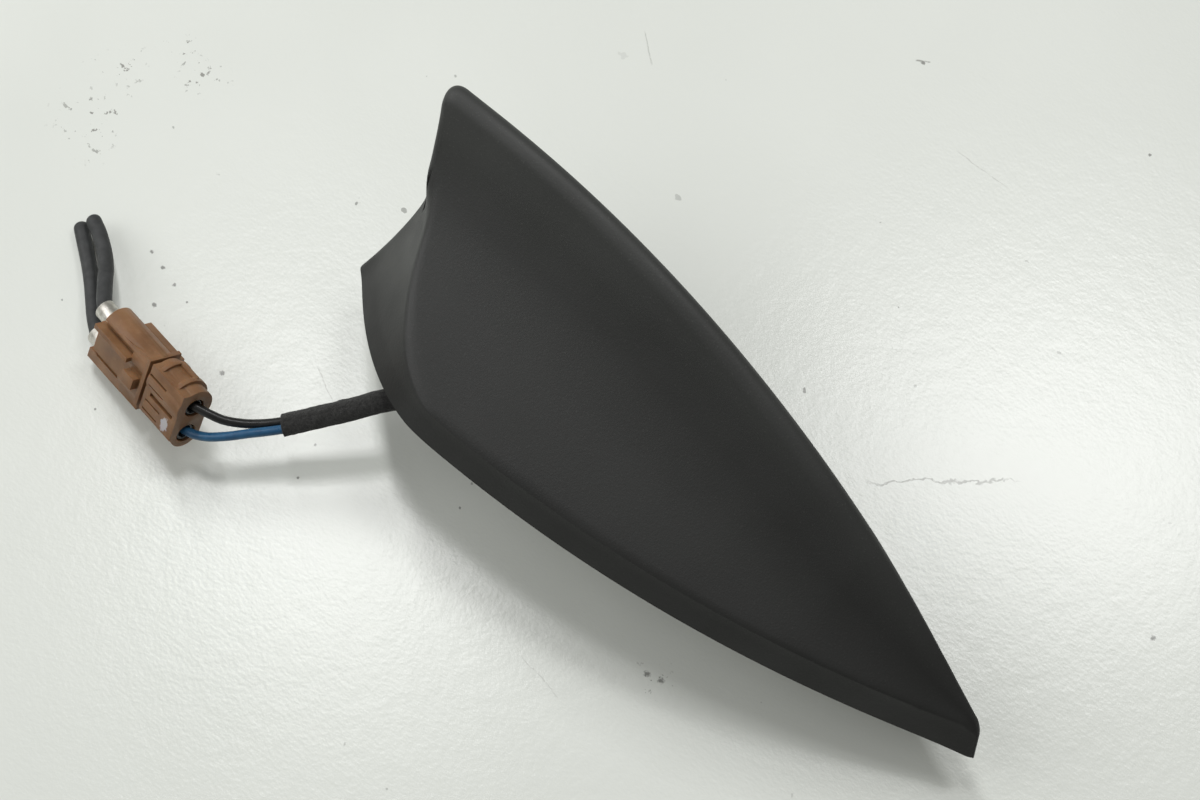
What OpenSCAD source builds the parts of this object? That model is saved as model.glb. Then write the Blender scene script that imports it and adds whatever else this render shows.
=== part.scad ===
// Shark fin roof aerial with its two leads, mated connector pair and cut tails
// Units mm, +X forward, +Y left, +Z up, origin at the middle of the boss in the roof plane

/* [Cover] */
// How far the nose reaches ahead of the boss
nose_x = 110.75; // [104:0.25:116]
// How far the stern reaches behind the boss
stern_x = -81.2; // [-86:0.2:-78]
// Where the cover is widest
wide_x = -29; // [-36:1:-24]
// Half of the greatest width
half_w = 35.3; // [33:0.1:37]
// Height of the crest above the roof
crest_z = 64.3; // [62:0.1:67]
// Gap between the cover rim and the roof
rim_z = 0.6; // [0.4:0.1:1]
// Height of the skirt below the side crease
skirt_z = 9; // [8:0.5:10]
// Slope of the shoulder above the crease
shoulder = 1.63; // [1.5:0.01:1.75]
// Half thickness of the blade at its crest
blade_w = 3.2; // [3:0.1:3.6]
// Forward lean of the stern at mid height
stern_lean = 6.4; // [4:0.1:7]
// Rounding of the apex over the stern
apex_r = 4.4; // [4:0.1:6]
// Wall thickness
wall = 2; // [1.8:0.1:2.2]

/* [Base] */
// Thickness of the base plate
plate_t = 3; // [2.5:0.1:3.5]
// Gap between the plate and the cover wall
plate_gap = 0.5; // [0.4:0.1:0.8]
// Thickness of the rubber seals
seal_t = 1.6; // [1.4:0.1:2]
// Width of the outer seal
seal_w = 5; // [4:0.5:6]
// Length of the boss
boss_l = 40; // [38:1:44]
// Width of the boss
boss_w = 20; // [19:0.5:22]
// Depth of the boss below the roof
boss_d = 12; // [11:0.5:13]
// Radius of the fixing thread
fix_r = 3; // [2.5:0.5:3.5]
// Place of the fixing thread along the boss
fix_x = 9; // [8:0.5:10]

/* [Inside] */
// Height of the circuit board's underside
board_z = 8; // [7.5:0.1:8.5]
// Thickness of the circuit board
board_t = 1.6; // [1.2:0.1:2]
// Middle of the ceramic patch along the board
patch_x = 23.5; // [22:0.5:25]
// Side of the ceramic patch
patch_w = 25; // [23:0.5:25.5]
// Height of the element carrier's top edge
carrier_top = 50; // [47:0.5:51]
// Thickness of the element carrier
carrier_t = 2.4; // [2:0.1:2.6]
// Radius of the loading coil
coil_r = 2.3; // [2:0.1:2.5]

/* [Leads] */
// Radius of the two leads
lead_r = 1.15; // [1:0.05:1.2]
// Radius of the two cut tails
tail_r = 2; // [1.8:0.1:2.1]
// Length of the plug outside the socket
plug_l = 13.9; // [13:0.1:15]
// Length of the plug and socket together
pair_l = 36.4; // [35.5:0.1:37.5]
// Distance between the two contact ways
way_gap = 8.1; // [7.8:0.1:8.2]

/* [Hidden] */
$fn = 36;
stations = 40;
plate_z = seal_t;
plate_top = plate_z + plate_t;
board_top = board_z + board_t;
front_y = half_w - 16.3;
back_y = half_w - 18.3;
cover_screws_at = [[72, 0], [18, front_y], [18, -front_y], [-50, back_y], [-50, -back_y]];
board_front = patch_x + patch_w / 2 + 7;
board_screws_at = [[board_front - 4, 9], [board_front - 4, -9], [-40, 11], [-40, -11]];
// Where the leads come up through the plate
lead_x = 13 - boss_l / 2;
// The connector pair: place of the plug's wire end, and its turn
pair_at = [-86.05, -49.77, -29.29];
pair_turn = [4, 7.7, 163.4];
// The leads leave the boss at the back, inside the fleece sleeve, and come down to the plug
route = [[lead_x, 0, 4], [lead_x - 0.6, 0, 0.5], [lead_x - 3, 0, -3.2], [-15, 0, -5.8], [-21.5, 0, -6.6],
         [-28, -1.8, -6.3], [-36, -8.4, -5], [-43, -16, -4.3], [-48, -21.3, -4.6], [-51.8, -24.6, -6.2],
         [-57.4, -29.5, -11.7], [-61.2, -32.7, -15.3], [-65, -35.8, -18.9], [-68.1, -38.3, -21.8]];
sleeve_from = 4;
black_bend = [[-72.2, -40.1, -23.9], [-75.6, -43.1, -25], [-79.4, -46, -25.4], [-82.8, -47.6, -25.3],
              [-85.3, -48.3, -25.3], [-87.4, -48.6, -25.5]];
blue_bend = [[-70.2, -41.7, -23.8], [-73, -44.1, -25.5], [-76.3, -46.6, -27.9], [-80, -48.7, -30.4],
             [-83.1, -49.5, -32.1], [-84.8, -49.7, -32.7], [-86.5, -49.7, -33.2]];
tail_right_path = [[-123.5, -37.9, -30.4], [-125.5, -36.1, -30.4], [-128.9, -32.1, -29.9], [-132.2, -28.1, -29.4],
                   [-136, -24.7, -28.9], [-140.3, -21.7, -28.5], [-143, -20.2, -28.4], [-145.4, -18.9, -28.4]];
tail_left_path = [[-123.1, -38.5, -38.3], [-126.4, -35.9, -37.9], [-130.1, -32.5, -37.1], [-133.6, -29.4, -36.1],
                  [-137.3, -26.5, -35], [-141, -23.9, -33.9], [-144.9, -21.3, -32.8], [-147.4, -19.5, -31.9]];

// Rounded joins of two values
function smax(a, b, k) = let (h = max(k - abs(a - b), 0) / k) max(a, b) + h * h * k / 4;
function smin(a, b, k) = -smax(-a, -b, k);

// Plan of the cover at the roof, as half width against place along it
function reach(x) = x > wide_x ? (x - wide_x) / (nose_x - wide_x) : (wide_x - x) / (wide_x - stern_x);
function plan(x) = half_w * (1 - pow(min(reach(x), 1), x > wide_x ? 2.03 : 2.21));
function blunt(x) = let (b = plan(x)) b + 2.2 * exp(-b / 3) * sqrt(b / (b + 0.6));

// Side view of the cover: crest, apex rounding and leaning stern
function crest(x) = let (back = max(stern_x + 1.5 + apex_r - x, 0) / apex_r, run = max(x + 68, 0) / 173.6)
    crest_z - 53 * pow(run, 1.98) - apex_r * (1 - sqrt(max(1 - back * back, 0)));
function lean(z) = z < 31 ? stern_lean * (1 - pow(1 - z / 31, 1.6))
    : stern_lean - 6.84 * pow((z - 31) / 32, 1.65);
function place_x(x, z) = x < wide_x ? x + lean(z) * pow(reach(x), 2) : x - 0.36 * z * pow(reach(x), 12);

// Half width of one station at height z: the leaning wall, cut by the shoulder and blade
function low(x, top) = min(skirt_z, 0.72 * top);
function foot_w(x) = (x > wide_x ? blunt(x) : half_w) - 0.8;
function blade(u, k) = k * (blade_w + 5.5 * pow(max(1 - u, 0), 1.2));
function flank(x, z, top) = let (u = max(z - low(x, top), 0) / (top - low(x, top)), f = foot_w(x))
    smax(f * (1 - shoulder * u), blade(u, min(1, f / 20)), 12 * min(1, f / 30));
function wall_w(x, z, top) = smin(blunt(x) - 0.08 * z * reach(x), flank(x, z, top), 1.6);
function crown(top, z) = let (r = min(3.4, 0.35 * top), up = max(z - top + r, 0) / r)
    sqrt(max(1 - up * up, 0));
// The upper stern is rounded off, where the foot comes to a narrow end
function upper(x, z) = let (v = x < wide_x ? min(max((z - 30) / 13.2, 0), 1) : 0) v * v * (3 - 2 * v);
function rounded(x) = pow(1 - pow(1 - min(max(x - stern_x, 0) / 2.2, 1), 3), 1 / 3);
function section(x, z, top) = let (s = upper(x, z))
    (wall_w(x, z, top) * (1 - s) + flank(x, z, top) * rounded(x) * s) * crown(top, z);

// Height of the crease on one station, where the wall meets the shoulder
function crease(x, top) = let (b = blunt(x), a = (1 - b / foot_w(x)) / shoulder,
    c = b < blade_w + 5.5 ? 1 - pow(max(b - blade_w, 0) / 5.5, 0.83) : 0, u = min(max(a, c, 0), 0.9))
    low(x, top) + u * (top - low(x, top));

wall_rows = 4;
flank_rows = 13;
rows = wall_rows + flank_rows;
function row_z(j, from, bend, top) = j < wall_rows ? from + (bend - from) * j / wall_rows
    : bend + (top - bend) * sin(90 * (j - wall_rows) / flank_rows);

// One closed body inside the cover's surface, in by the given thickness
module cover_body(in, from) {
    lo = stern_x + 1.2 * in;
    hi = nose_x - 2 * in;
    rings = [for (i = [0:stations]) let (x = lo + (hi - lo) * (1 - cos(180 * i / stations)) / 2,
        tip = crest(place_x(x, 60 * (x < 0 ? 1 : 0.15))), bend = min(crease(x, tip), tip - 1.2),
        top = tip - 1.2 * in)
        [for (j = [0:rows]) let (z = row_z(j, from, min(bend, top - 0.5), top),
            s = in * sqrt(1 + pow(min(abs(section(x, z, tip) - section(x, z + 0.5, tip)) * 2, 1.1), 2)))
            [place_x(x, max(z, 0)), j == rows ? 0 : max(section(x, max(z, 0), tip) - s, 0.3), z]]];
    pts = [for (r = rings) each concat([for (j = [0:rows]) [r[j][0], -r[j][1], r[j][2]]],
        [for (j = [rows - 1:-1:0]) r[j]])];
    n = 2 * rows + 1;
    skin = [for (i = [0:stations - 1], j = [0:n - 1]) let (a = i * n + j, b = i * n + (j + 1) % n)
        each [[a, b, b + n], [a, b + n, a + n]]];
    ends = [for (j = [0:rows - 1]) let (k = n - 1 - j, m = stations * n)
        each [[j, k, j + 1], if (k - 1 > j + 1) [j + 1, k, k - 1],
              [m + j, m + j + 1, m + k], if (k - 1 > j + 1) [m + j + 1, m + k - 1, m + k]]];
    polyhedron(pts, concat(skin, ends), convexity = 6);
}

// Half width of the plate outline and the outline itself
function plate_w(x) = max(blunt(x) - wall - plate_gap - 0.6, 0.5);
module plate_plan(in) {
    lo = stern_x + 4.4 + 1.3 * in;
    hi = nose_x - 9 - 1.6 * in;
    xs = [for (i = [0:32]) lo + (hi - lo) * (1 - cos(180 * i / 32)) / 2];
    polygon(concat([for (x = xs) [x, -plate_w(x) + in]],
        [for (i = [32:-1:0]) [xs[i], plate_w(xs[i]) - in]]));
}

module pill(l, w, h) {
    cube([l - w, w, h], center = true);
    for (s = [-1, 1]) translate([s * (l - w) / 2, 0, 0]) cylinder(d = w, h = h, center = true);
}

// Smooth path through hand set points
function spline(p, i, t) = let (n = len(p) - 1, a = p[max(i - 1, 0)], b = p[i], c = p[min(i + 1, n)],
    d = p[min(i + 2, n)]) 0.5 * (2 * b + (c - a) * t + (2 * a - 5 * b + 4 * c - d) * t * t
    + (3 * b - a - 3 * c + d) * t * t * t);
function path(p, per) = concat([for (i = [0:len(p) - 2], k = [0:per - 1]) spline(p, i, k / per)],
    [p[len(p) - 1]]);
function unit(v) = v / norm(v);
function along(p, i) = unit(p[min(i + 1, len(p) - 1)] - p[max(i - 1, 0)]);
function side(t) = unit([t[1], -t[0], 0]);
function beside(p, d) = [for (i = [0:len(p) - 1]) p[i] + d * side(along(p, i))];

// Tube of elliptical section along a path, with an inner bore when bw is above zero
module tube(p, w, h, sides, bw = 0, bh = 0) {
    m = len(p);
    function ring(i, a, b) = let (t = along(p, i), s = side(t), u = cross(s, t))
        [for (k = [0:sides - 1]) p[i] + a * cos(360 * k / sides) * s + b * sin(360 * k / sides) * u];
    outer = [for (i = [0:m - 1]) each ring(i, w, h)];
    inner = bw > 0 ? [for (i = [0:m - 1]) each ring(i, bw, bh)] : [];
    q = m * sides;
    e = (m - 1) * sides;
    skin = [for (i = [0:m - 2], k = [0:sides - 1]) let (a = i * sides + k, b = i * sides + (k + 1) % sides)
        each [[a, b, b + sides], [a, b + sides, a + sides]]];
    bore = bw > 0 ? [for (f = skin) [q + f[2], q + f[1], q + f[0]]] : [];
    caps = bw > 0
        ? [for (k = [0:sides - 1]) let (l = (k + 1) % sides) each
            [[k, q + l, l], [k, q + k, q + l], [e + k, e + l, q + e + l], [e + k, q + e + l, q + e + k]]]
        : [[for (k = [sides - 1:-1:0]) k], [for (k = [0:sides - 1]) e + k]];
    polyhedron(concat(outer, inner), concat(skin, bore, caps), convexity = 4);
}

// A place in the connector's own frame, as a place on the aerial
function turn(v) = let (a = pair_turn[0], b = pair_turn[1], c = pair_turn[2],
    p = [v[0], v[1] * cos(a) - v[2] * sin(a), v[1] * sin(a) + v[2] * cos(a)],
    q = [p[0] * cos(b) + p[2] * sin(b), p[1], -p[0] * sin(b) + p[2] * cos(b)])
    [q[0] * cos(c) - q[1] * sin(c), q[0] * sin(c) + q[1] * cos(c), q[2]];
function on_pair(x, z) = pair_at + turn([x, 0, z]);
module in_pair() translate(pair_at) rotate(pair_turn) children();
// A cylinder along the connector, on one of its two ways
module way(z, x0, x1, r) translate([x0, 0, z]) rotate([0, 90, 0]) cylinder(r = r, h = x1 - x0);
module oval(x0, x1, r, z = way_gap / 2) {
    way(z, x0, x1, r);
    way(-z, x0, x1, r);
    translate([x0, -r, -z]) cube([x1 - x0, 2 * r, 2 * z]);
}

// Hollow fin with a raised crest, concave flanks, a creased skirt and five screw posts inside
module fin_cover() color([0.2, 0.2, 0.21]) difference() {
    union() {
        difference() {
            cover_body(0, rim_z);
            cover_body(wall, rim_z - 2);
        }
        intersection() {
            cover_body(0.8, rim_z);
            union() {
                for (p = cover_screws_at) {
                    translate([p[0], p[1], plate_top + 0.02])
                        hull() {
                            cylinder(r = 3.2, h = 1, $fn = 24);
                            translate([0, 0, 40]) cylinder(r = 3.6, h = 1, $fn = 24);
                        }
                    translate([p[0], p[1], plate_top + 2]) hull() {
                        translate([-5.5, -0.7, 6]) cube([11, 1.4, 34]);
                        translate([-3.5, -0.7, 0]) cube([7, 1.4, 1]);
                    }
                }
            }
        }
    }
    for (p = cover_screws_at) translate([p[0], p[1], plate_top - 1]) cylinder(r = 1.55, h = 8, $fn = 24);
}

// Die cast plate with the hollow boss, board posts, stiffening ribs and screw pockets
module base_plate() color([0.6, 0.6, 0.58]) difference() {
    union() {
        translate([0, 0, plate_z]) linear_extrude(plate_t) plate_plan(0);
        translate([0, 0, (plate_z - boss_d) / 2]) pill(boss_l, boss_w, plate_z + boss_d);
        for (p = board_screws_at) translate([p[0], p[1], plate_top])
            cylinder(r = 3, h = board_z - plate_top);
        for (s = [-1, 1]) translate([-30, s * (front_y + 2) - 0.8, plate_top]) cube([70, 1.6, 2]);
        translate([board_front + 3, -0.8, plate_top]) cube([66 - board_front - 3, 1.6, 3]);
    }
    translate([fix_x, 0, -boss_d - 1]) cylinder(r = fix_r, h = boss_d + 1.5);
    translate([fix_x, 0, -boss_d - 0.01]) cylinder(r1 = fix_r + 0.8, r2 = fix_r, h = 0.8);
    translate([-boss_l, -4.4, -boss_d - 1]) cube([boss_l + lead_x + 2.4, 8.8, boss_d + 1]);
    translate([lead_x - 6, -4.4, -1]) cube([8.4, 8.8, plate_top + 2]);
    for (p = cover_screws_at) translate([p[0], p[1], 0]) {
        cylinder(r = 1.7, h = 10);
        cylinder(r = 3.1, h = plate_z + 1.6);
    }
    for (p = board_screws_at) translate([p[0], p[1], plate_z + 1]) cylinder(r = 1.25, h = 10);
}

// Rubber seal along the outline, under the plate
module base_seal() color([0.12, 0.12, 0.12]) linear_extrude(seal_t) difference() {
    plate_plan(0.4);
    plate_plan(seal_w);
}

// Rubber ring round the boss
module boss_seal() color([0.13, 0.13, 0.13]) translate([0, 0, seal_t / 2]) difference() {
    pill(boss_l + 7, boss_w + 7, seal_t);
    pill(boss_l, boss_w, seal_t + 1);
}

// Board with cut corners at the nose, held on four posts
module circuit_board() color([0.1, 0.35, 0.2]) translate([0, 0, board_z]) linear_extrude(board_t)
    difference() {
        polygon([[-44, -15], [board_front - 9, -15], [board_front, -11], [board_front, 11],
                 [board_front - 9, 15], [-44, 15]]);
        for (p = board_screws_at) translate(p) circle(r = 1.4);
    }

// Folded tin can over the amplifier, open below, with vent holes in its lid
module shield_can() color([0.75, 0.75, 0.72]) translate([-3, 0, board_top]) difference() {
    translate([-13, -12, 0]) cube([22, 24, 3.6]);
    translate([-12.6, -11.6, -1]) cube([21.2, 23.2, 4.2]);
    for (x = [-9, -5, 5], y = [-8, -4, 4, 8]) translate([x, y, 0]) cylinder(r = 0.8, h = 5);
    translate([-12, -2.6, 2]) cube([10, 5.2, 3]);
}

// Ceramic patch on the front of the board
module gps_patch() color([0.8, 0.75, 0.66]) translate([patch_x, 0, board_top + 2]) difference() {
    cube([patch_w, patch_w, 4], center = true);
    for (s = [-1, 1]) translate([patch_w / 2, s * patch_w / 2, 0]) rotate(45) cube([2, 2, 6], center = true);
}

// Silvered face of the patch with its feed pin
module patch_electrode() color([0.8, 0.8, 0.8]) translate([patch_x, 0, board_top + 4]) {
    translate([-10, -10, 0]) cube([20, 20, 0.3]);
    translate([2, 0, 0.3]) cylinder(r = 1, h = 0.7);
}

// Moulded carrier that stands on the board and reaches up into the blade
module element_carrier() color([0.85, 0.85, 0.8]) {
    translate([-40, -8, board_top]) cube([22, 16, 1.5]);
    difference() {
        translate([0, carrier_t / 2, 0]) rotate([90, 0, 0]) linear_extrude(carrier_t)
            polygon([[-40, board_top + 1.5], [-56, 30], [-64, 42], [-64, carrier_top], [-16, carrier_top],
                     [-16, 30], [-19, board_top + 1.5]]);
        for (x = [-50, -38, -26]) translate([x, 0, 37]) rotate([90, 0, 0])
            cylinder(r = 3.5, h = 9, center = true);
        translate([-33, 0, 22]) rotate([90, 0, 0]) cylinder(r = 4, h = 9, center = true);
    }
    for (s = [-1, 1]) translate([-32, s * 4 - 0.8 * (s + 1) , board_top + 1.5]) cube([6, 1.6, 1]);
}

// Stamped cap over the carrier with a tongue down to the coil
module top_plate() color([0.78, 0.62, 0.3]) {
    translate([-64, -1.6, carrier_top]) cube([48.6, 3.2, 0.5]);
    for (s = [-1, 1]) translate([-64, s > 0 ? carrier_t / 2 : -1.6, carrier_top - 6])
        cube([48, 1.6 - carrier_t / 2, 6]);
    translate([-15.9, -1.2, 34]) cube([0.5, 2.4, carrier_top - 34]);
    translate([-15.9, -1.2, 33.5]) cube([8, 2.4, 0.5]);
}

// Wound wire coil below the tongue
module loading_coil() color([0.72, 0.4, 0.2]) {
    turns = 11;
    steps = 12 * turns;
    z0 = board_top + 3.4 + 0.4;
    z1 = 33.1;
    p = [for (i = [0:steps]) [-10 + coil_r * cos(30 * i), coil_r * sin(30 * i), z0 + (z1 - z0) * i / steps]];
    tube(p, 0.4, 0.4, 6);
}

// Folded contact strip from the board to the coil
module contact_spring() color([0.78, 0.62, 0.3]) translate([-14, -2, board_top]) {
    translate([0, 0, 3]) cube([8, 4, 0.4]);
    translate([0, 0, 0.4]) cube([0.4, 4, 2.6]);
    cube([6, 4, 0.4]);
}

module screw(r, l, head_r, head_h) {
    difference() {
        cylinder(r = head_r, h = head_h);
        translate([0, 0, head_h - 0.5]) for (a = [0, 90]) rotate(a)
            cube([1.3 * head_r, 0.6, 1.2], center = true);
    }
    translate([0, 0, -l]) cylinder(r = r, h = l);
}

// Screws that hold the board to its posts
module board_screws() color([0.7, 0.7, 0.7])
    for (p = board_screws_at) translate([p[0], p[1], board_top]) screw(1.25, 5, 2.1, 1.4);

// Screws up through the plate into the cover's posts
module cover_screws() color([0.68, 0.68, 0.68])
    for (p = cover_screws_at) translate([p[0], p[1], plate_z + 1.6]) rotate([180, 0, 0])
        screw(1.5, 7, 2.8, 1.4);

// Rubber plug in the boss channel that grips the two leads
module cable_grommet() color([0.15, 0.15, 0.15]) difference() {
    union() {
        translate([-19, -4.4, -10.4]) cube([3.4, 8.8, 8]);
        translate([-20.4, -3.6, -9.6]) cube([1.4, 7.2, 6]);
    }
    translate([-24, 0, -6.55]) rotate([0, 88, 0]) for (s = [-1, 1]) translate([0, s * 1.25, 0])
        cylinder(r = lead_r + 0.3, h = 12);
}

// Crimped ends of the leads under the board
module lead_ferrules() color([0.75, 0.7, 0.55])
    for (s = [-1, 1]) translate([lead_x - 0.1, s * 1.25, 0]) difference() {
        translate([-1.2, s > 0 ? -1.2 : -1.5, 1.8]) cube([2.7, 2.7, board_z - 1.8]);
        translate([-1.5, s > 0 ? -1.5 : -1.2, 0]) cube([2.7, 2.7, 4.2]);
    }

lead_line = path(route, 2);
sleeve_line = path([for (i = [sleeve_from:len(route) - 1]) route[i]], 2);
function lead(s, bend, z) = path(concat(beside(route, s * 1.25), bend,
    [on_pair(3.4, z), on_pair(5.8, z)]), 2);

// Felt tape sleeve round both leads
module fleece_sleeve() color([0.16, 0.16, 0.16]) tube(sleeve_line, 3.2, 2.3, 12, 2.75, 1.6);

module black_lead() color([0.1, 0.1, 0.1]) tube(lead(1, black_bend, way_gap / 2), lead_r, lead_r, 8);

module blue_lead() color([0.2, 0.4, 0.6]) tube(lead(-1, blue_bend, -way_gap / 2), lead_r, lead_r, 8);

// Brown plug: two barrels, flat panel with grooves, collar and latch loop
module plug_housing() color([0.5, 0.36, 0.25]) in_pair() difference() {
    union() {
        oval(0, plug_l - 1, 4.3);
        way(way_gap / 2, 0, plug_l - 1, 5.2);
        oval(plug_l - 1.2, plug_l + 6, 2.9);
        translate([0, 0, -5.4]) cube([plug_l - 0.9, 4.7, 14]);
        intersection() {
            union() {
                way(way_gap / 2, 3.2, 4.6, 6);
                way(way_gap / 2, plug_l - 4.1, plug_l - 2.9, 6);
                translate([4, -2.6, 8]) cube([plug_l - 7.4, 1.4, 1.8]);
            }
            translate([0, -7, 5]) cube([plug_l, 11.7, 8]);
        }
    }
    for (s = [-1, 1]) way(s * way_gap / 2, -1, 10, 2.7);
    for (s = [-1, 1]) way(s * way_gap / 2, 9, plug_l + 7, 1.3);
    translate([1.6, 3.7, 0.2]) cube([plug_l - 4.7, 2, 1.2]);
    translate([5.9, 4.1, 5.5]) cube([plug_l - 7.1, 1, 0.6]);
    translate([6, 4.3, 3]) cube([plug_l - 8, 1, 0.4]);
    translate([5.9, 4.3, -1.8]) cube([plug_l - 8, 1, 0.5]);
    translate([6.1, 4.3, -4.6]) cube([plug_l - 8, 1, 0.5]);
    translate([4, -5.3, -3]) cube([5, 1.8, 6]);
}

// Retainer pressed into the back of the plug
module plug_retainer() color([0.45, 0.32, 0.22]) in_pair() difference() {
    translate([4, -4.8, -3]) cube([5, 1.3, 6]);
    translate([5.5, -5.2, -1]) cube([2, 0.8, 2]);
}

// Crimp barrels inside the two ways of the plug
module plug_crimps() color([0.75, 0.73, 0.7]) in_pair() for (s = [-1, 1]) difference() {
    union() {
        way(s * way_gap / 2, 3.5, 10, 1.9);
        way(s * way_gap / 2, 8.6, 10, 2.7);
    }
    way(s * way_gap / 2, 3, 5.82, lead_r + 0.08);
    way(s * way_gap / 2, 5.8, 11, 0.6);
}

// Brown socket: rounded hood over a flat side with a rib, a stop block and guide rails
module socket_housing() color([0.52, 0.37, 0.25]) in_pair() difference() {
    union() {
        oval(plug_l, pair_l - 3, 3.9);
        way(way_gap / 2 + 0.35, plug_l + 0.4, pair_l - 3.2, 4.5);
        translate([plug_l, -4.6, -5.6]) cube([1.2, 9.5, 14.4]);
        rotate([90, 0, 0]) translate([0, 0, -3.9]) linear_extrude(4)
            polygon([[plug_l + 1, 5], [pair_l - 3.2, 5], [pair_l - 3.2, 6.2], [plug_l + 8, 7.2],
                     [plug_l + 1, 8.7]]);
        translate([plug_l + 6.8, 0, -4.4]) cube([pair_l - plug_l - 8.6, 3.9, 8.8]);
        translate([plug_l + 6.8, 3, 3.1]) cube([pair_l - plug_l - 8.8, 3, 1.3]);
        translate([plug_l + 2.6, 2, -2.4]) cube([4.3, 3.9, 3.2]);
        translate([plug_l + 1, 0, -8.2]) cube([8, 3.4, 6.2]);
        translate([plug_l + 8, 0, -8.4]) cube([pair_l - plug_l - 8, 3.3, 2.8]);
        translate([plug_l, -6.2, 1.8]) cube([14.5, 3.2, 4.8]);
    }
    translate([plug_l - 1, 0, 0]) oval(0, 8, 3.1);
    for (s = [-1, 1]) way(s * way_gap / 2, pair_l - 5, pair_l + 1, 2.7);
    for (s = [-1, 1]) way(s * way_gap / 2, plug_l + 5, pair_l, 1.3);
    translate([plug_l + 10, 3, -5.6]) cube([pair_l - plug_l - 8, 3, 1.3]);
    translate([plug_l + 6.9, 3.1, 4.4]) cube([pair_l - plug_l, 3, 1.7]);
    translate([plug_l - 1, -5.4, 2.6]) cube([13, 0.9, 3.2]);
    translate([plug_l + 8, -4.8, -4]) cube([6, 1.9, 4]);
}

// Retainer pressed into the back of the socket
module socket_retainer() color([0.46, 0.33, 0.22]) in_pair() difference() {
    translate([plug_l + 8, -4.4, -4]) cube([6, 1.5, 4]);
    translate([plug_l + 10, -5, -3]) cube([2, 1, 2]);
}

// Silvered ferrules where the tails enter the socket
module socket_ferrules() color([0.7, 0.67, 0.6]) in_pair() for (s = [-1, 1]) difference() {
    way(s * way_gap / 2, pair_l - 5, pair_l + 2.4, 2.7);
    translate([pair_l - 3, 0, s * way_gap / 2]) rotate([0, 90, 0])
        cylinder(r1 = tail_r + 0.05, r2 = tail_r + 0.5, h = 5.5);
}

function tail(z, p) = path(concat([for (x = [-3, -1, 0.8]) on_pair(pair_l + x, z)], p), 2);

module tail_cable_left() color([0.25, 0.25, 0.26])
    tube(tail(-way_gap / 2, tail_left_path), tail_r, tail_r, 10);

module tail_cable_right() color([0.25, 0.25, 0.26])
    tube(tail(way_gap / 2, tail_right_path), tail_r, tail_r, 10);

fin_cover();
base_plate();
base_seal();
boss_seal();
circuit_board();
shield_can();
gps_patch();
patch_electrode();
element_carrier();
top_plate();
loading_coil();
contact_spring();
board_screws();
cover_screws();
cable_grommet();
lead_ferrules();
fleece_sleeve();
black_lead();
blue_lead();
plug_housing();
plug_retainer();
plug_crimps();
socket_housing();
socket_retainer();
socket_ferrules();
tail_cable_left();
tail_cable_right();
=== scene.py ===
import math

import bmesh
import bpy
from mathutils import Matrix, Vector, noise


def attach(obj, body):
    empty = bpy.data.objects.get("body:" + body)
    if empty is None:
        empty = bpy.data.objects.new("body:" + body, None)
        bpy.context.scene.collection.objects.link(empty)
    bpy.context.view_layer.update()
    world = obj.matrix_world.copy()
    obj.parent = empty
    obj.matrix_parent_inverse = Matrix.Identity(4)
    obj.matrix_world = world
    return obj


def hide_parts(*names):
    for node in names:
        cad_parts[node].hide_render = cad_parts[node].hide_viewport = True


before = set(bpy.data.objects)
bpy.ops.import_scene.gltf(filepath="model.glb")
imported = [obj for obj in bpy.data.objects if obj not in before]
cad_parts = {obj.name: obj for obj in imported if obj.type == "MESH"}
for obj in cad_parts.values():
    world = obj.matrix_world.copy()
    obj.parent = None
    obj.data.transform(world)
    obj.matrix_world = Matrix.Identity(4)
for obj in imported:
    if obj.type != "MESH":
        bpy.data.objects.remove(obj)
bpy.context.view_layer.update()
mm = 0.001

# helpers for meshes

def addObject(name, data):
    made = bpy.data.objects.new(name, data)
    bpy.context.collection.objects.link(made)
    return made


def addPiece(name, verts, faces, material, smooth=True):
    mesh = bpy.data.meshes.new(name)
    mesh.from_pydata([tuple(v) for v in verts], [], faces)
    mesh.materials.append(material)
    mesh.polygons.foreach_set("use_smooth", [smooth] * len(mesh.polygons))
    return addObject(name, mesh)


def freeze(piece):                         # modifiers become plain mesh
    depsgraph = bpy.context.evaluated_depsgraph_get()
    mesh = bpy.data.meshes.new_from_object(piece.evaluated_get(depsgraph))
    piece.modifiers.clear()
    piece.data = mesh
    return piece


def dress(piece, slotName, *nodes):
    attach(piece, "root")
    if nodes:
        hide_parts(*nodes)
    return piece


# helpers for materials

def newFinish(name, colour, roughness, metallic=0.0):
    mat = bpy.data.materials.new(name)
    mat.use_nodes = True
    shader = mat.node_tree.nodes["Principled BSDF"]
    shader.inputs["Base Color"].default_value = (*colour, 1)
    shader.inputs["Roughness"].default_value = roughness
    shader.inputs["Metallic"].default_value = metallic
    return mat


def node(mat, kind, **inputs):
    made = mat.node_tree.nodes.new("ShaderNode" + kind)
    for key, value in inputs.items():
        made.inputs[key.replace("_", " ")].default_value = value
    return made


def join(mat, source, target):
    mat.node_tree.links.new(source, target)


def shaderOf(mat):
    return mat.node_tree.nodes["Principled BSDF"]


def feed(mat, socketName, source):         # into a socket of the finish's own shader
    join(mat, source, shaderOf(mat).inputs[socketName])


def place(mat, scale=(1, 1, 1), turn=(0, 0, 0)):
    coords = node(mat, "TexCoord")
    mapping = node(mat, "Mapping", Scale=scale, Rotation=turn)
    join(mat, coords.outputs["Object"], mapping.inputs["Vector"])
    return mapping.outputs["Vector"]


def speckle(mat, vector, scale, detail=2.0, rough=0.5):
    made = node(mat, "TexNoise", Scale=scale, Detail=detail, Roughness=rough)
    join(mat, vector, made.inputs["Vector"])
    return made.outputs["Fac"]


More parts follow.
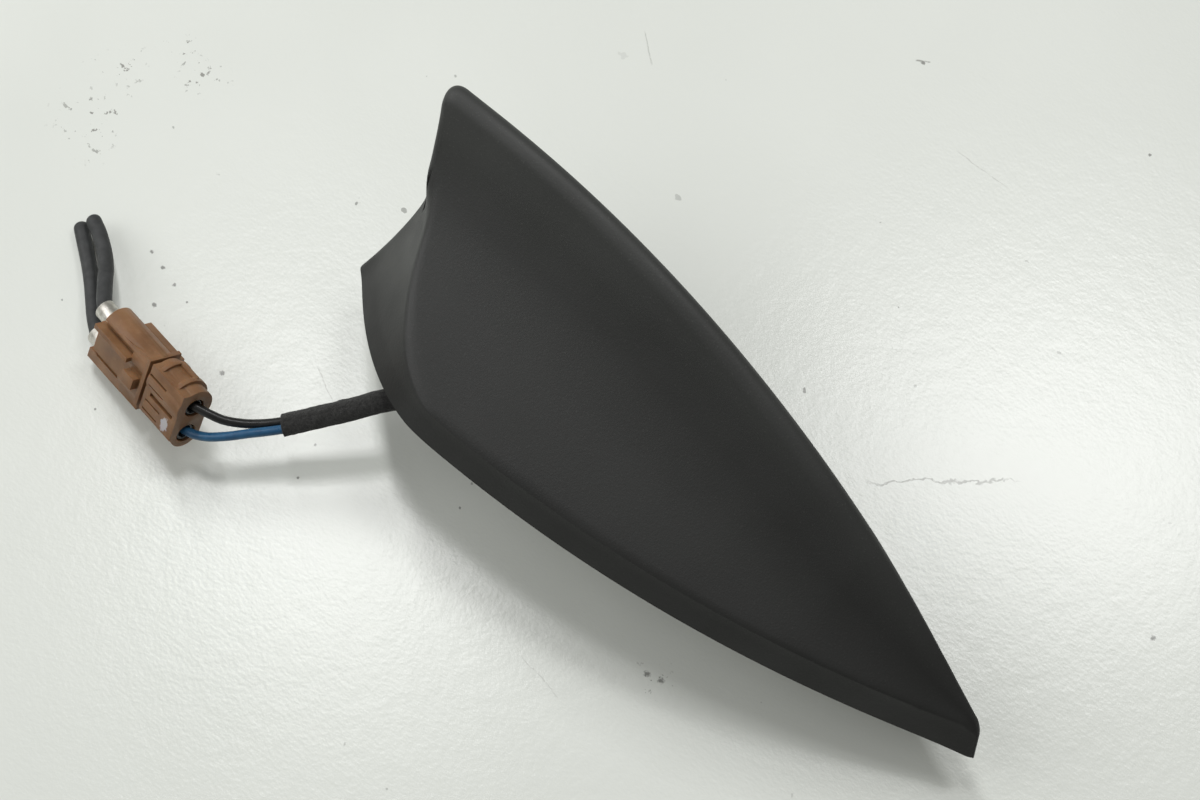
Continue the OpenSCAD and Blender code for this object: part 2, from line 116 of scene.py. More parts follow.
def ramp(mat, value, low, high, colourLow, colourHigh):
    made = node(mat, "ValToRGB")
    made.color_ramp.elements[0].position = low
    made.color_ramp.elements[1].position = high
    made.color_ramp.elements[0].color = (*colourLow, 1)
    made.color_ramp.elements[1].color = (*colourHigh, 1)
    join(mat, value, made.inputs["Fac"])
    return made.outputs["Color"]


def spread(mat, value, low, high, toLow, toHigh):
    made = node(mat, "MapRange", From_Min=low, From_Max=high, To_Min=toLow, To_Max=toHigh)
    join(mat, value, made.inputs["Value"])
    return made.outputs["Result"]


def mixColour(mat, factor, first, second):
    made = mat.node_tree.nodes.new("ShaderNodeMix")
    made.data_type = "RGBA"
    join(mat, factor, made.inputs[0])
    for index, value in ((6, first), (7, second)):
        if isinstance(value, tuple):
            made.inputs[index].default_value = (*value, 1)
        else:
            join(mat, value, made.inputs[index])
    return made.outputs[2]


def bump(mat, height, strength, distance, after=None):
    made = node(mat, "Bump", Strength=strength, Distance=distance)
    join(mat, height, made.inputs["Height"])
    if after is not None:
        join(mat, after, made.inputs["Normal"])
    feed(mat, "Normal", made.outputs["Normal"])
    return made.outputs["Normal"]


def operate(mat, kind, operation, values, result):
    made = node(mat, kind)
    made.operation = operation
    for k, value in enumerate(values):
        if isinstance(value, bpy.types.NodeSocket):
            join(mat, value, made.inputs[k])
        else:
            made.inputs[k].default_value = value
    return made.outputs[result]


def maths(mat, operation, *values):
    return operate(mat, "Math", operation, values, "Value")


def vectorMaths(mat, operation, *values, result="Vector"):
    return operate(mat, "VectorMath", operation, values, result)


noiseRange = (0.3, 0.7)                    # nearly all values of a noise lie between these


def spot(mat, centre, radius, edge, wobble, wobbleScale, stretch=(1, 1, 1)):
    # 1 inside a ragged spot round a place on the part, 0 outside
    vector = place(mat)
    away = vectorMaths(mat, "MULTIPLY", vectorMaths(mat, "SUBTRACT", vector, centre), stretch)
    length = vectorMaths(mat, "LENGTH", away, result="Value")
    ragged = spread(mat, speckle(mat, vector, wobbleScale, 3), *noiseRange, -wobble, wobble)
    return spread(mat, maths(mat, "ADD", length, ragged), radius, radius - edge, 0.0, 1.0)


# camera, as the photograph was taken

cameraSettings = {                         # focal length and picture size in pixels
    "place": (83.98, -471.01, 450.29),
    "right": (0.7703, 0.5103, 0.3825), "down": (0.6203, -0.4605, -0.6349),
    "focal": 2692, "wide": 1200, "high": 800, "sensor": 36}
viewRight = Vector(cameraSettings["right"]).normalized()
viewUp = -Vector(cameraSettings["down"])
viewUp = (viewUp - viewRight * viewUp.dot(viewRight)).normalized()
viewBack = viewRight.cross(viewUp)
cameraData = bpy.data.cameras.new("camera")
cameraData.sensor_width = cameraSettings["sensor"]
cameraData.lens = cameraSettings["focal"] / cameraSettings["wide"] * cameraSettings["sensor"]
cameraData.clip_start = 0.02
camera = addObject("camera", cameraData)
camera.matrix_world = Matrix.Translation(Vector(cameraSettings["place"]) * mm) @ Matrix(
    (viewRight, viewUp, viewBack)).transposed().to_4x4()
bpy.context.scene.camera = camera
bpy.context.scene.view_settings.view_transform = "Standard"
print("camera set")

# table: the fin leans on its boss and far rim, so the table tilts in the part's frame

tableSettings = {                          # marks at the photograph's pixels, sizes in mm
    "normal": (-0.0304, -0.4924, 0.8698), "distance": -15.86, "half": 900,
    "colour": (0.76, 0.785, 0.745), "shade": (0.71, 0.735, 0.695), "roughness": 0.22,
    "chip": (0.28, 0.29, 0.27), "chipScale": 210.0, "chipRange": (0.75, 0.77),
    "chippedScale": 17.0, "chippedRange": (0.5, 0.62),
    "grit": (0.2, 0.2, 0.18), "gritScale": 520.0, "gritRange": (0.62, 0.66), "gritAmount": 0.8,
    "dot": (0.13, 0.13, 0.12), "dotAmount": 0.75,
    "gritty": [((90, 118), 13), ((120, 70), 9), ((200, 75), 8), ((180, 48), 6), ((650, 678), 6)],
    "dots": [((222, 373), 0.8), ((1150, 155), 0.5), ((1153, 638), 0.9), ((647, 674), 0.9),
             ((661, 681), 0.9), ((923, 63), 0.7), ((298, 478), 0.4), ((460, 508), 0.4),
             ((152, 252), 0.6), ((163, 268), 0.6), ((174, 285), 0.6), ((154, 305), 0.7),
             ((187, 302), 0.35), ((95, 409), 0.4), ((62, 300), 0.35), ((315, 445), 0.45)],
    "streaks": [((862, 481), (1022, 482), 0.42, 1.5, 0.6), ((645, 30), (652, 66), 0.25, 0.4, 0.35),
                ((915, 61), (931, 63), 0.3, 0.3, 0.7), ((316, 365), (334, 404), 0.22, 0.3, 0.3),
                ((955, 150), (1010, 190), 0.2, 0.4, 0.25), ((520, 655), (560, 700), 0.2, 0.4, 0.25)]}
tableUp = Vector(tableSettings["normal"]).normalized()
tableAcross = (viewRight - tableUp * viewRight.dot(tableUp)).normalized()
tableAway = tableUp.cross(tableAcross)
tableMiddle = tableUp * tableSettings["distance"] * mm


def pixelOnTable(pixel):                   # the table's place at a pixel, and the ray to it
    s = cameraSettings
    ray = viewRight * (pixel[0] - s["wide"] / 2) - viewUp * (pixel[1] - s["high"] / 2)
    ray = ray / s["focal"] - viewBack
    start = Vector(s["place"]) * mm
    reachOut = (tableSettings["distance"] * mm - start.dot(tableUp)) / ray.dot(tableUp)
    return start + ray * reachOut, ray.normalized()


def streak(mat, fromPixel, toPixel, width, wobble, strength):
    # a fine crack or scratch between two places, fading at its ends and broken in between
    a, b = pixelOnTable(fromPixel)[0], pixelOnTable(toPixel)[0]
    along = (b - a).normalized()
    middle, half = (a + b) / 2, (b - a).length / 2
    vector = place(mat)
    reached = []
    for direction in (along, tableUp.cross(along)):
        dot = vectorMaths(mat, "DOT_PRODUCT", vector, direction, result="Value")
        reached.append(maths(mat, "SUBTRACT", dot, middle.dot(direction)))
    waves = spread(mat, speckle(mat, vector, 160.0, 3, 0.6), *noiseRange, -wobble, wobble)
    bent = maths(mat, "ABSOLUTE", maths(mat, "ADD", reached[1], waves))
    inside = spread(mat, bent, width * 0.4, width, strength, 0.0)
    ends = spread(mat, maths(mat, "ABSOLUTE", reached[0]), half * 0.75, half, 1.0, 0.0)
    broken = spread(mat, speckle(mat, vector, 700.0, 2), 0.35, 0.5, 0.3, 1.0)
    return maths(mat, "MULTIPLY", maths(mat, "MULTIPLY", inside, ends), broken)


def makeTable():
    s = tableSettings
    mat = newFinish("tablePaint", s["colour"], s["roughness"])
    flat = place(mat)
    colour = ramp(mat, speckle(mat, flat, 9.0, 3), *noiseRange, s["shade"], s["colour"])
    chips = spread(mat, speckle(mat, flat, s["chipScale"], 2, 0.6), *s["chipRange"], 0.0, 1.0)
    chipped = speckle(mat, flat, s["chippedScale"], 2)
    chipped = ramp(mat, chipped, *s["chippedRange"], (0, 0, 0), (1, 1, 1))
    colour = mixColour(mat, maths(mat, "MULTIPLY", chips, chipped), colour, s["chip"])
    grit = spread(mat, speckle(mat, flat, s["gritScale"], 3, 0.65), *s["gritRange"], 0.0, 1.0)
    for pixel, radius in s["gritty"]:
        r = radius * mm
        patch = spot(mat, pixelOnTable(pixel)[0], r, 0.6 * r, 0.3 * r, 90.0)
        amount = maths(mat, "MULTIPLY", maths(mat, "MULTIPLY", grit, patch), s["gritAmount"])
        colour = mixColour(mat, amount, colour, s["grit"])
    for pixel, radius in s["dots"]:
        r = radius * mm
        patch = spot(mat, pixelOnTable(pixel)[0], r, 0.5 * r, 0.35 * r, 1500.0)
        colour = mixColour(mat, maths(mat, "MULTIPLY", patch, s["dotAmount"]), colour, s["dot"])
    for fromPixel, toPixel, width, wobble, strength in s["streaks"]:
        line = streak(mat, fromPixel, toPixel, width * mm, wobble * mm, strength)
        colour = mixColour(mat, line, colour, s["grit"])
    feed(mat, "Base Color", colour)
    coarse = bump(mat, speckle(mat, flat, 230.0, 3), 0.12, 0.0004)
    bump(mat, speckle(mat, place(mat, scale=(1, 1.5, 1)), 850.0, 2), 0.16, 0.0002, coarse)
    half = s["half"] * mm
    corners = [tableMiddle + tableAcross * a * half + tableAway * b * half
               for a, b in ((-1, -1), (1, -1), (1, 1), (-1, 1))]
    table = addPiece("table", corners, [(0, 1, 2, 3)], mat, smooth=False)
    clear = node(mat, "BsdfTransparent")   # seen from below, the table is left out
    side = node(mat, "NewGeometry")
    choose = node(mat, "MixShader")
    join(mat, side.outputs["Backfacing"], choose.inputs[0])
    join(mat, shaderOf(mat).outputs[0], choose.inputs[1])
    join(mat, clear.outputs[0], choose.inputs[2])
    join(mat, choose.outputs[0], mat.node_tree.nodes["Material Output"].inputs["Surface"])


makeTable()

# light: a narrow lamp high up for the shadow, broad soft ones, and two for the gloss on the table

lampSettings = {
    "main": {"toward": (-0.557, -0.054, 0.829), "far": 1.6, "wide": 0.12, "long": 0.5, "power": 7.4},
    "stern": {"toward": (-0.88, -0.33, 0.4), "far": 1.5, "wide": 1.2, "long": 0.9, "power": 5.0},
    "front": {"toward": (-0.6, -0.75, 0.35), "far": 1.5, "wide": 1.2, "long": 0.8, "power": 5.8},
    "left": {"pixel": (335, 505), "far": 1.3, "wide": 0.2, "long": 0.22, "power": 1.9},
    "right": {"pixel": (1035, 475), "far": 1.3, "wide": 0.34, "long": 0.2, "power": 2.8}}
lampTarget = (0, 0, 0.02)
worldSettings = {"strength": 0.24, "colour": (1.0, 0.99, 0.93), "seen": (0.8, 0.81, 0.79)}


def addLamp(name, where, target, s):
    data = bpy.data.lights.new(name, "AREA")
    data.shape = "RECTANGLE"
    data.size = s["wide"]
    data.size_y = s["long"]
    data.energy = s["power"]
    lamp = addObject(name, data)
    back = (where - target).normalized()
    across = (tableAcross - back * tableAcross.dot(back)).normalized()
    turned = Matrix((across, back.cross(across), back)).transposed().to_4x4()
    lamp.matrix_world = Matrix.Translation(where) @ turned


def makeLamps():
    for name in ("main", "stern", "front"):
        s = lampSettings[name]
        addLamp(name + "Lamp", Vector(s["toward"]).normalized() * s["far"], Vector(lampTarget), s)
    bpy.data.objects["mainLamp"].visible_glossy = False   # the others give the gloss
    for name in ("left", "right"):
        s = lampSettings[name]
        hit, ray = pixelOnTable(s["pixel"])
        mirrored = ray - tableUp * 2 * ray.dot(tableUp)
        addLamp(name + "Lamp", hit + mirrored * s["far"], hit, s)
    world = bpy.data.worlds.new("room")
    bpy.context.scene.world = world
    world.use_nodes = True
    nodes, links = world.node_tree.nodes, world.node_tree.links
    background = nodes["Background"]
    path = nodes.new("ShaderNodeLightPath")
    seen = nodes.new("ShaderNodeBackground")
    seen.inputs["Color"].default_value = (*worldSettings["seen"], 1)
    background.inputs["Color"].default_value = (*worldSettings["colour"], 1)
    background.inputs["Strength"].default_value = worldSettings["strength"]
    choose = nodes.new("ShaderNodeMixShader")
    links.new(path.outputs["Is Camera Ray"], choose.inputs[0])
    links.new(background.outputs[0], choose.inputs[1])
    links.new(seen.outputs[0], choose.inputs[2])
    links.new(choose.outputs[0], nodes["World Output"].inputs["Surface"])


makeLamps()
print("table and lamps set")

# where the connector pair lies, as in the solid

pairSettings = {"place": (-86.05, -49.77, -29.29), "turn": (4, 7.7, 163.4), "length": 36.4,
                "ways": 8.1}
pairTurn = [math.radians(angle) for angle in pairSettings["turn"]]
pairMatrix = Matrix.Translation(Vector(pairSettings["place"])) @ (
    Matrix.Rotation(pairTurn[2], 4, "Z") @ Matrix.Rotation(pairTurn[1], 4, "Y")
    @ Matrix.Rotation(pairTurn[0], 4, "X"))


def onPair(x, z, y=0.0):                   # x from the leads to the tails, z across the two ways
    return pairMatrix @ Vector((x, y, z))


# finishes

def makeCoverPlastic():                    # charcoal, with the fine grain of an etched mould, and painted light and shade
    mat = newFinish("coverPlastic", (0.018, 0.0187, 0.0178), 0.52)
    vector = place(mat)
    dark, light = (0.0153, 0.016, 0.0153), (0.0204, 0.0213, 0.0204)
    tone = ramp(mat, speckle(mat, vector, 28.0, 4), *noiseRange, dark, light)
    fine = speckle(mat, vector, 2300.0, 2)
    colour = mixColour(mat, spread(mat, fine, 0.62, 0.78, 0.0, 0.55), tone, (0.044, 0.045, 0.042))
    height = node(mat, "SeparateXYZ")      # painted light: paler towards the top; painted shade: darker on the skirt
    join(mat, vector, height.inputs[0])
    paler = spread(mat, height.outputs["Z"], 0.006, 0.05, 0.7, 1.46)
    skirt = spread(mat, height.outputs["Z"], 0.0062, 0.0088, 0.55, 1.0)
    paintedLightAttribute = node(mat, "Attribute")          # painted shade and highlight at each point, from the cover's tone attribute
    paintedLightAttribute.attribute_name = "tone"
    # all painted light and shade is applied here, to the colour's value
    paintedShading = node(mat, "HueSaturation")
    value = maths(mat, "MULTIPLY", maths(mat, "MULTIPLY", paler, skirt), paintedLightAttribute.outputs["Fac"])
    join(mat, value, paintedShading.inputs["Value"])
    join(mat, colour, paintedShading.inputs["Color"])
    feed(mat, "Base Color", paintedShading.outputs["Color"])
    feed(mat, "Roughness", spread(mat, speckle(mat, vector, 60.0, 3), *noiseRange, 0.48, 0.6))
    first = bump(mat, fine, 0.35, 0.00012)
    bump(mat, speckle(mat, vector, 950.0, 2), 0.14, 0.0002, first)
    return mat


def makeCasting():
    mat = newFinish("dieCast", (0.5, 0.5, 0.48), 0.45, 1.0)
    vector = place(mat)
    dark, light = (0.4, 0.4, 0.39), (0.58, 0.58, 0.56)
    feed(mat, "Base Color", ramp(mat, speckle(mat, vector, 120.0, 4), *noiseRange, dark, light))
    bump(mat, speckle(mat, vector, 1500.0, 3), 0.3, 0.0001)
    return mat


def makeRubber(name, colour, roughness=0.6):
    mat = newFinish(name, colour, roughness)
    vector = place(mat)
    paler = tuple(v * 1.7 + 0.004 for v in colour)
    feed(mat, "Base Color", ramp(mat, speckle(mat, vector, 260.0, 3), 0.35, 0.75, colour, paler))
    bump(mat, speckle(mat, vector, 1800.0, 2), 0.15, 0.0001)
    return mat


def makeBoard():                           # green resist with faint tracks and plated dots
    mat = newFinish("boardGreen", (0.02, 0.11, 0.05), 0.35)
    vector = place(mat)
    tracks = node(mat, "TexBrick", Scale=160.0)
    tracks.inputs["Color1"].default_value = (0.02, 0.13, 0.06, 1)
    tracks.inputs["Color2"].default_value = (0.018, 0.1, 0.045, 1)
    tracks.inputs["Mortar"].default_value = (0.05, 0.2, 0.1, 1)
    join(mat, vector, tracks.inputs["Vector"])
    dots = node(mat, "TexVoronoi", Scale=420.0)
    join(mat, vector, dots.inputs["Vector"])
    plated = spread(mat, dots.outputs["Distance"], 0.14, 0.1, 0.0, 1.0)
    feed(mat, "Base Color", mixColour(mat, plated, tracks.outputs["Color"], (0.6, 0.58, 0.5)))
    bump(mat, plated, 0.3, 0.0001)
    return mat


def makeMetal(name, dark, light, roughness, grain=(60, 900, 60)):   # brushed along its grain
    mat = newFinish(name, light, roughness, 1.0)
    brushed = place(mat, scale=grain)
    smears = speckle(mat, place(mat), 700.0, 2)
    feed(mat, "Base Color", ramp(mat, speckle(mat, brushed, 8.0, 3), *noiseRange, dark, light))
    feed(mat, "Roughness", spread(mat, smears, *noiseRange, roughness - 0.08, roughness + 0.1))
    bump(mat, speckle(mat, brushed, 14.0, 2), 0.12, 0.00005)
    return mat


def makeMoulding(name, dark, light, roughness=0.55):
    mat = newFinish(name, light, roughness)
    vector = place(mat)
    feed(mat, "Base Color", ramp(mat, speckle(mat, vector, 300.0, 3), *noiseRange, dark, light))
    bump(mat, speckle(mat, vector, 1600.0, 2), 0.2, 0.0001)
    return mat


def makeFleece(name, dark, light):         # black felt tape, napped and slightly dusty
    mat = newFinish(name, light, 0.95)
    vector = place(mat)
    strands = place(mat, scale=(1, 1.4, 2.2), turn=(0.2, 0.5, 0.7))
    fine = speckle(mat, strands, 900.0, 4, 0.75)
    feed(mat, "Base Color", ramp(mat, fine, 0.35, 0.75, dark, light))
    shaderOf(mat).inputs["Sheen Weight"].default_value = 0.12
    shaderOf(mat).inputs["Sheen Roughness"].default_value = 0.6
    first = bump(mat, fine, 1.0, 0.0006)
    bump(mat, speckle(mat, vector, 420.0, 3), 0.7, 0.0008, first)
    return mat


def makeJacket(name, dark, light, roughness):   # extruded lead insulation, smooth with faint scuffs
    mat = newFinish(name, light, roughness)
    vector = place(mat)
    scuffs = speckle(mat, vector, 900.0, 3)
    feed(mat, "Base Color", ramp(mat, speckle(mat, vector, 380.0, 3), 0.35, 0.7, dark, light))
    feed(mat, "Roughness", spread(mat, scuffs, 0.3, 0.75, roughness - 0.06, roughness + 0.16))
    bump(mat, speckle(mat, vector, 2400.0, 2), 0.08, 0.00008)
    return mat


def makeBrownPlastic(name, paint=None):    # glass filled nylon: mottled, warm where it is thin
    mat = newFinish(name, (0.2, 0.1, 0.045), 0.48)
    vector = place(mat)
    dark, light = (0.15, 0.07, 0.029), (0.245, 0.128, 0.059)
    tone = ramp(mat, speckle(mat, vector, 170.0, 4), 0.3, 0.72, dark, light)
    dust = spread(mat, speckle(mat, vector, 700.0, 4, 0.7), 0.56, 0.8, 0.0, 0.35)
    colour = mixColour(mat, dust, tone, (0.33, 0.2, 0.12))
    if paint:
        patch = spot(mat, paint["place"], paint["radius"], paint["edge"], paint["wobble"], 1300.0,
                     paint["stretch"])
        colour = mixColour(mat, patch, colour, paint["colour"])
    feed(mat, "Base Color", colour)
    shaderOf(mat).inputs["Subsurface Weight"].default_value = 0.25
    shaderOf(mat).inputs["Subsurface Radius"].default_value = (1.0, 0.35, 0.12)
    shaderOf(mat).inputs["Subsurface Scale"].default_value = 0.0012
    first = bump(mat, speckle(mat, vector, 1500.0, 3), 0.25, 0.0001)
    bump(mat, speckle(mat, vector, 260.0, 2), 0.12, 0.0003, first)
    return mat


coverPlastic = makeCoverPlastic()
dieCast = makeCasting()
sealRubber = makeRubber("sealRubber", (0.016, 0.016, 0.016))
wetRubber = makeRubber("wetRubber", (0.008, 0.008, 0.008), 0.14)
boardGreen = makeBoard()
tin = makeMetal("tin", (0.42, 0.42, 0.4), (0.6, 0.6, 0.57), 0.35)
silver = makeMetal("silver", (0.45, 0.44, 0.42), (0.68, 0.66, 0.63), 0.3)
patchCeramic = makeMoulding("patchCeramic", (0.52, 0.44, 0.33), (0.64, 0.56, 0.44), 0.7)
carrierPlastic = makeMoulding("carrierPlastic", (0.56, 0.54, 0.47), (0.66, 0.64, 0.57))
brassStrip = makeMetal("brassStrip", (0.5, 0.34, 0.12), (0.66, 0.47, 0.19), 0.32)
copperWire = makeMetal("copperWire", (0.42, 0.14, 0.05), (0.6, 0.25, 0.1), 0.3)
screwSteel = makeMetal("screwSteel", (0.4, 0.4, 0.41), (0.56, 0.56, 0.57), 0.35)
fleece = makeFleece("fleece", (0.003, 0.003, 0.003), (0.028, 0.028, 0.026))
fleeceNap = makeFleece("fleeceNap", (0.004, 0.004, 0.004), (0.07, 0.07, 0.066))
blackJacket = makeJacket("blackJacket", (0.009, 0.009, 0.009), (0.017, 0.017, 0.017), 0.3)
blueJacket = makeJacket("blueJacket", (0.014, 0.072, 0.16), (0.024, 0.115, 0.23), 0.33)
tailJacket = makeJacket("tailJacket", (0.026, 0.0275, 0.028), (0.042, 0.044, 0.045), 0.55)
brownPlastic = makeBrownPlastic("brownPlastic")
paintedBrown = makeBrownPlastic("paintedBrown", {   # a dab of pale paint on the plug
    "place": tuple(onPair(3.4, -2.9, 4.7) * mm), "radius": 0.0019, "edge": 0.0004,
    "wobble": 0.00045, "stretch": (1.35, 1.35, 0.85), "colour": (0.42, 0.4, 0.42)})
ferruleTin = makeMetal("ferruleTin", (0.5, 0.48, 0.43), (0.74, 0.72, 0.67), 0.38, (110, 110, 110))
print("finishes made")

# leads, tails and sleeve: the part's own routes, repeated

leadSettings = {
    "route": [(-7, 0, 4), (-7.6, 0, 0.5), (-10, 0, -3.2), (-15, 0, -5.8), (-21.5, 0, -6.6),
              (-28, -1.8, -6.3), (-36, -8.4, -5), (-43, -16, -4.3), (-48, -21.3, -4.6),
              (-51.8, -24.6, -6.2), (-57.4, -29.5, -11.7), (-61.2, -32.7, -15.3),
              (-65, -35.8, -18.9), (-68.1, -38.3, -21.8)],
    "apart": 1.25, "sleeveFrom": 4, "leadRadius": 1.15, "tailRadius": 2.0, "tailEnd": 0.8,
    "sides": 24, "perSpan": 8,
    "blackBend": [(-72.2, -40.1, -23.9), (-75.6, -43.1, -25), (-79.4, -46, -25.4),
                  (-82.8, -47.6, -25.3), (-85.3, -48.3, -25.3), (-87.4, -48.6, -25.5)],
    "blueBend": [(-70.2, -41.7, -23.8), (-73, -44.1, -25.5), (-76.3, -46.6, -27.9),
                 (-80, -48.7, -30.4), (-83.1, -49.5, -32.1), (-84.8, -49.7, -32.7),
                 (-86.5, -49.7, -33.2)],
    "rightTail": [(-123.5, -37.9, -30.4), (-125.5, -36.1, -30.4), (-128.9, -32.1, -29.9),
                  (-132.2, -28.1, -29.4), (-136, -24.7, -28.9), (-140.3, -21.7, -28.5),
                  (-143, -20.2, -28.4), (-145.4, -18.9, -28.4)],
    "leftTail": [(-123.1, -38.5, -38.3), (-126.4, -35.9, -37.9), (-130.1, -32.5, -37.1),
                 (-133.6, -29.4, -36.1), (-137.3, -26.5, -35), (-141, -23.9, -33.9),
                 (-144.9, -21.3, -32.8), (-147.4, -19.5, -31.9)]}


def splinePath(points, perSpan):
    p = [Vector(q) for q in points]
    last = len(p) - 1
    found = []
    for i in range(last):
        a, b, c, d = p[max(i - 1, 0)], p[i], p[i + 1], p[min(i + 2, last)]
        for k in range(perSpan):
            t = k / perSpan
            found.append(0.5 * (2 * b + (c - a) * t + (2 * a - 5 * b + 4 * c - d) * t ** 2
                                + (3 * b - a - 3 * c + d) * t ** 3))
    return found + [p[-1]]


def sideways(line, i):                     # along a path at a point, and level across it
    t = (line[min(i + 1, len(line) - 1)] - line[max(i - 1, 0)]).normalized()
    return t, Vector((t.y, -t.x, 0)).normalized()


def beside(points, distance):
    p = [Vector(q) for q in points]
    return [p[i] + sideways(p, i)[1] * distance for i in range(len(p))]


def newTree(name, shapeIn, sockets, shapeOut):   # a tree with a shape in and out, and named inputs
    tree = bpy.data.node_groups.new(name, "GeometryNodeTree")
    face = tree.interface
    face.new_socket(shapeIn, in_out="INPUT", socket_type="NodeSocketGeometry")
    for label, kind, value in (*sockets, ("Finish", "Material", None)):
        socket = face.new_socket(label, in_out="INPUT", socket_type="NodeSocket" + kind)
        if value is not None:
            socket.default_value = value
    face.new_socket(shapeOut, in_out="OUTPUT", socket_type="NodeSocketGeometry")
    return tree, tree.nodes.new("NodeGroupInput")


def finishTree(tree, start, shape):        # real meshes in the finish that is asked for
    real = tree.nodes.new("GeometryNodeRealizeInstances")
    paint = tree.nodes.new("GeometryNodeSetMaterial")
    end = tree.nodes.new("NodeGroupOutput")
    tree.links.new(shape, real.inputs[0])
    tree.links.new(real.outputs[0], paint.inputs[0])
    tree.links.new(start.outputs["Finish"], paint.inputs["Material"])
    tree.links.new(paint.outputs[0], end.inputs[0])
    return tree


def cableTree():
    sockets = (("Radius", "Float", 0.001), ("Sides", "Int", 24))
    tree, start = newTree("cableAlongPath", "Path", sockets, "Cable")
    nodes, links = tree.nodes, tree.links
    toCurve = nodes.new("GeometryNodeMeshToCurve")
    ring = nodes.new("GeometryNodeCurvePrimitiveCircle")
    sweep = nodes.new("GeometryNodeCurveToMesh")
    thick = nodes.new("GeometryNodeInputNamedAttribute")
    thick.data_type = "FLOAT"
    thick.inputs["Name"].default_value = "thick"
    smooth = nodes.new("GeometryNodeSetShadeSmooth")
    sweep.inputs["Fill Caps"].default_value = True
    links.new(start.outputs["Path"], toCurve.inputs[0])
    links.new(start.outputs["Radius"], ring.inputs["Radius"])
    links.new(start.outputs["Sides"], ring.inputs["Resolution"])
    links.new(toCurve.outputs[0], sweep.inputs["Curve"])
    links.new(ring.outputs[0], sweep.inputs["Profile Curve"])
    links.new(thick.outputs["Attribute"], sweep.inputs["Scale"])
    links.new(sweep.outputs[0], smooth.inputs[0])
    return finishTree(tree, start, smooth.outputs[0])


def setInput(modifier, label, value):
    for item in modifier.node_group.interface.items_tree:
        if item.item_type == "SOCKET" and item.in_out == "INPUT" and item.name == label:
            modifier[item.identifier] = value


cableNodes = cableTree()


def makeCable(name, points, radius, finish, roundEnd=0.0):
    line = [Vector(p) * mm for p in points]
    thick = [1.0] * len(line)
    if roundEnd:                           # the last rings draw in, as at a cut end
        rings = 6
        tip = line[-1]
        away = (tip - line[-2]).normalized()
        reachOut = radius * mm * roundEnd
        start = tip - away * reachOut
        line = [p for p in line if (p - tip).length > reachOut]
        thick = [1.0] * len(line)
        for k in range(rings + 1):
            angle = math.radians(90 * k / rings)
            line.append(start + away * reachOut * math.sin(angle))
            thick.append(max(math.cos(angle), 0.06))
    mesh = bpy.data.meshes.new(name)
    mesh.from_pydata([tuple(p) for p in line], [(k, k + 1) for k in range(len(line) - 1)], [])
    mesh.attributes.new("thick", "FLOAT", "POINT").data.foreach_set("value", thick)
    cable = addObject(name, mesh)
    modifier = cable.modifiers.new("cable", "NODES")
    modifier.node_group = cableNodes
    setInput(modifier, "Radius", radius * mm)
    setInput(modifier, "Sides", leadSettings["sides"])
    setInput(modifier, "Finish", finish)
    cable.update_tag()
    return freeze(cable), line


def lengthOf(line):
    return sum((b - a).length for a, b in zip(line, line[1:]))


def leadLine(side, bend, z):
    s = leadSettings
    trunk = beside(s["route"], side * s["apart"])
    inside = [onPair(x, z) for x in (3.4, 5.8)]
    return splinePath(trunk + [Vector(p) for p in bend] + inside, s["perSpan"])


def tailLine(z, points):
    length = pairSettings["length"]
    inside = [onPair(length + x, z) for x in (-3, -1, 0.8)]
    return splinePath(inside + [Vector(p) for p in points], leadSettings["perSpan"])


halfWay = pairSettings["ways"] / 2
blackLead, blackLine = makeCable("blackLeadJacket", leadLine(1, leadSettings["blackBend"], halfWay),
                                 leadSettings["leadRadius"], blackJacket)
blueLead, blueLine = makeCable("blueLeadJacket", leadLine(-1, leadSettings["blueBend"], -halfWay),
                               leadSettings["leadRadius"], blueJacket)
tailLeft, tailLeftLine = makeCable("tailLeftJacket", tailLine(-halfWay, leadSettings["leftTail"]),
                                   leadSettings["tailRadius"], tailJacket, leadSettings["tailEnd"])
tailRight, tailRightLine = makeCable("tailRightJacket", tailLine(halfWay, leadSettings["rightTail"]),
                                     leadSettings["tailRadius"], tailJacket, leadSettings["tailEnd"])
dress(blackLead, "black_jacket", "black_lead")
dress(blueLead, "blue_jacket", "blue_lead")
dress(tailLeft, "tail_jacket", "tail_cable_left")
dress(tailRight, "tail_jacket", "tail_cable_right")
print("leads and tails made:",
      [round(lengthOf(line), 4) for line in (blackLine, blueLine, tailLeftLine, tailRightLine)])

# felt sleeve: a hollow flattened tube, then loose fibres on its face

sleeveSettings = {"wide": 3.2, "high": 2.3, "boreWide": 2.75, "boreHigh": 1.6,
                  "around": 64, "perSpan": 14,
                  "lumps": 0.14, "lumpScale": 0.55, "fineScale": 1.7,
                  "lap": 0.12, "lapAt": 1.9, "lapWide": 0.1,
                  "fibres": 9500, "fibreLength": 0.8, "fibreRadius": 0.028, "fibreLean": 1.25,
                  "fibreShortest": 0.35, "seed": 7}


